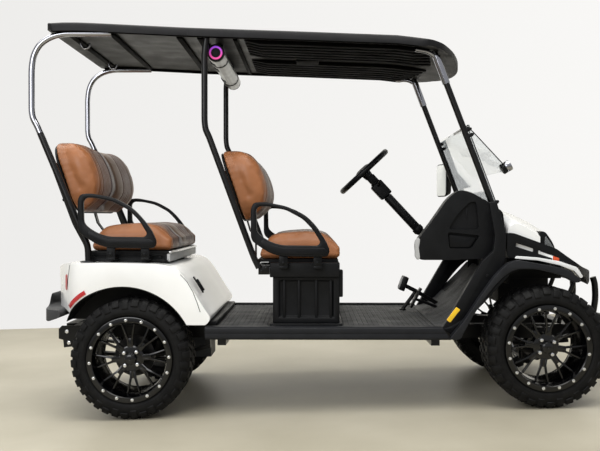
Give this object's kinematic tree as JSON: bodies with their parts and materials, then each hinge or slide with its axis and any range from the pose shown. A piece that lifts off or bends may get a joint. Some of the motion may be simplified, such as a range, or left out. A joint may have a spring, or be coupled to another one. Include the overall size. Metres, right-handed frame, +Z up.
{
  "type": "golf cart",
  "caption": "Open golf cart with front and rear bench seats facing forward, long canopy on bent struts, folding windshield and steered front wheels.",
  "frame": {"origin": "middle of the cart's length and width, on the ground", "axes": "+X forward along the cart, +Y to its left, +Z up"},
  "size_m": [2.7921, 1.244, 1.8606],
  "materials": {
    "frame_black": "satin black powder coat",
    "sill_black": "grained black",
    "mat_rubber": "ribbed",
    "body_white": "gloss white",
    "trim_black": "grained black",
    "seat_leather": "tan, sewn in bands",
    "strut_chrome": "bright upper tubes",
    "roof_black": "charcoal",
    "bar_grey": "light grey, grooved",
    "clear_pane": "clear",
    "lamp_lens": "clear lens",
    "red_lens": "red lens",
    "bumper_grey": "dark grey",
    "pack_grey": "grey",
    "wheel_rubber": "soft black",
    "rim_black": "gloss black with bright bolts",
    "tyre": "black"
  },
  "bodies": {
    "chassis": {"chassis_frame": "frame_black", "floor_pan": "sill_black", "floor_mat": "mat_rubber", "rear_body": "body_white", "rear_seat_riser": "trim_black", "rear_seat_back": "seat_leather", "front_seat_pod": "trim_black", "front_seat_back": "seat_leather", "seat_back_shells": "trim_black", "front_armrests": "trim_black", "rear_armrests": "trim_black", "rear_struts": "strut_chrome", "mid_struts": "frame_black", "front_struts": "frame_black", "roof_rear": "roof_black", "roof_front": "roof_black", "sound_bar": "bar_grey", "windshield": "clear_pane", "side_mirror": "trim_black", "dash": "trim_black", "front_cowl": "body_white", "front_trim": "trim_black", "headlights": "lamp_lens", "tail_lamps": "red_lens", "wheel_arches": "trim_black", "bumpers": "bumper_grey", "rear_axle": "frame_black", "front_axle": "frame_black", "leaf_springs": "frame_black", "power_pack": "pack_grey", "steering_column": "trim_black", "pedals": "trim_black"},
    "rear_left_wheel": {"rear_left_rim": "rim_black", "rear_left_tyre": "tyre"},
    "rear_right_wheel": {"rear_right_rim": "rim_black", "rear_right_tyre": "tyre"},
    "left_knuckle": {"left_knuckle": "frame_black"},
    "right_knuckle": {"right_knuckle": "frame_black"},
    "front_left_wheel": {"front_left_rim": "rim_black", "front_left_tyre": "tyre"},
    "front_right_wheel": {"front_right_rim": "rim_black", "front_right_tyre": "tyre"},
    "tie_rod": {"tie_rod": "frame_black"},
    "steering_wheel": {"steering_wheel": "wheel_rubber"},
    "rear_seat_lid": {"rear_seat_board": "trim_black", "rear_seat_cushion": "seat_leather"},
    "front_seat_lid": {"front_seat_board": "trim_black", "front_seat_cushion": "seat_leather"}
  },
  "joints": [
    {"name": "rear_left_wheel_spin", "type": "hinge", "parent": "chassis", "child": "rear_left_wheel", "pos_m": [-0.9234, 0.495, 0.28], "axis": [0, 1, 0], "continuous": true},
    {"name": "rear_right_wheel_spin", "type": "hinge", "parent": "chassis", "child": "rear_right_wheel", "pos_m": [-0.9234, -0.495, 0.28], "axis": [0, 1, 0], "continuous": true},
    {"name": "left_steer", "type": "hinge", "parent": "chassis", "child": "left_knuckle", "pos_m": [1.0066, 0.43, 0.28], "axis": [0, 0, 1], "range_deg": [-25, 25]},
    {"name": "right_steer", "type": "hinge", "parent": "chassis", "child": "right_knuckle", "pos_m": [1.0066, -0.43, 0.28], "axis": [0, 0, 1], "range_deg": [-25.2, 25.2]},
    {"name": "front_left_wheel_spin", "type": "hinge", "parent": "left_knuckle", "child": "front_left_wheel", "pos_m": [1.0066, 0.495, 0.28], "axis": [0, 1, 0], "continuous": true},
    {"name": "front_right_wheel_spin", "type": "hinge", "parent": "right_knuckle", "child": "front_right_wheel", "pos_m": [1.0066, -0.495, 0.28], "axis": [0, 1, 0], "continuous": true},
    {"name": "tie_rod_slide", "type": "slide", "parent": "chassis", "child": "tie_rod", "axis": [0, 1, 0], "range_m": [-0.0374, 0.0374]},
    {"name": "steering_wheel_turn", "type": "hinge", "parent": "chassis", "child": "steering_wheel", "pos_m": [0.2517, 0.27, 1.14252], "axis": [-0.66, 0, 0.7513], "range_deg": [-301, 301]},
    {"name": "rear_seat_lid_lift", "type": "hinge", "parent": "chassis", "child": "rear_seat_lid", "pos_m": [-1.13918, 0, 0.76261], "axis": [0, -1, 0], "range_deg": [0, 32]},
    {"name": "front_seat_lid_lift", "type": "hinge", "parent": "chassis", "child": "front_seat_lid", "pos_m": [-0.33272, 0, 0.69866], "axis": [0, -1, 0], "range_deg": [0, 32]}
  ],
  "couplings": [
    {"joint": "right_steer", "follows": "left_steer", "ratio": 1},
    {"joint": "tie_rod_slide", "follows": "left_steer", "m_per_rad": -0.085},
    {"joint": "steering_wheel_turn", "follows": "left_steer", "ratio": 12}
  ]
}
